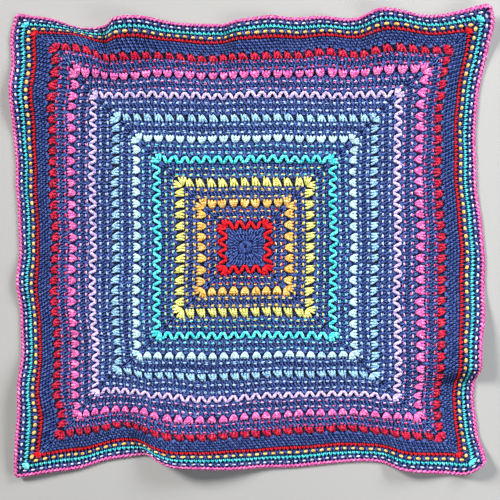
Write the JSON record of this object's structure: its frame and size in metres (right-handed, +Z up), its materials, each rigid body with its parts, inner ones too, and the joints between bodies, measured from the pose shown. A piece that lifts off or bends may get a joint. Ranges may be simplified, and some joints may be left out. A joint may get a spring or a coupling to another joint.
{
  "type": "crochet blanket",
  "caption": "Square crochet baby blanket in navy with coloured openwork rounds and a rope edging, laid out flat with waves and folds along its hem.",
  "frame": {"origin": "underside of the cloth at the centre ring that the rounds start from", "axes": "+Z up from the surface the blanket lies on, +X to the right side and +Y to the top side as seen from above"},
  "size_m": [0.8427, 0.8259, 0.0299],
  "materials": {
    "yarn": "soft matte yarn, navy with coloured rounds"
  },
  "bodies": {
    "root": {"blanket": "yarn"}
  },
  "joints": []
}
